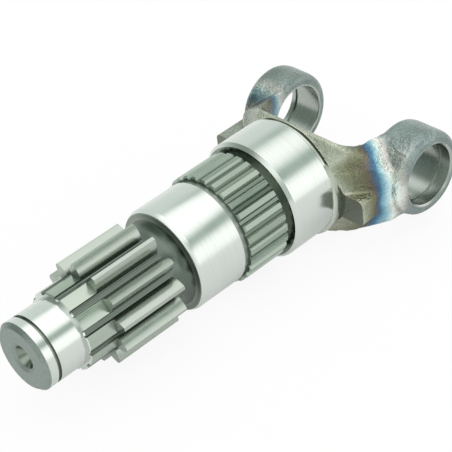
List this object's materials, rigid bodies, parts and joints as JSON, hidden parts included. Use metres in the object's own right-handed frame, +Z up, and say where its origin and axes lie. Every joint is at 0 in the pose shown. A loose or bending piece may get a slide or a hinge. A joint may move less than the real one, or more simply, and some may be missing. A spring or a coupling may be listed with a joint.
{
  "type": "half shaft",
  "caption": "Forged steel half shaft: a stepped shaft with a pilot, a stepped pinion, a splined seat and bearing journals, ending in a two-eared joint fork.",
  "frame": {"origin": "joint centre: on the shaft's axis, midway between the retaining ring grooves of the two ears", "axes": "+X along the shaft's axis from the pilot towards the fork, +Y along the bore through the ears, +Z up with the shaft lying on its side"},
  "size_m": [0.2582, 0.121, 0.07],
  "materials": {
    "steel": "ground and hobbed shaft, rough forged fork with heat tint"
  },
  "bodies": {
    "root": {"half_shaft": "steel"}
  },
  "joints": []
}
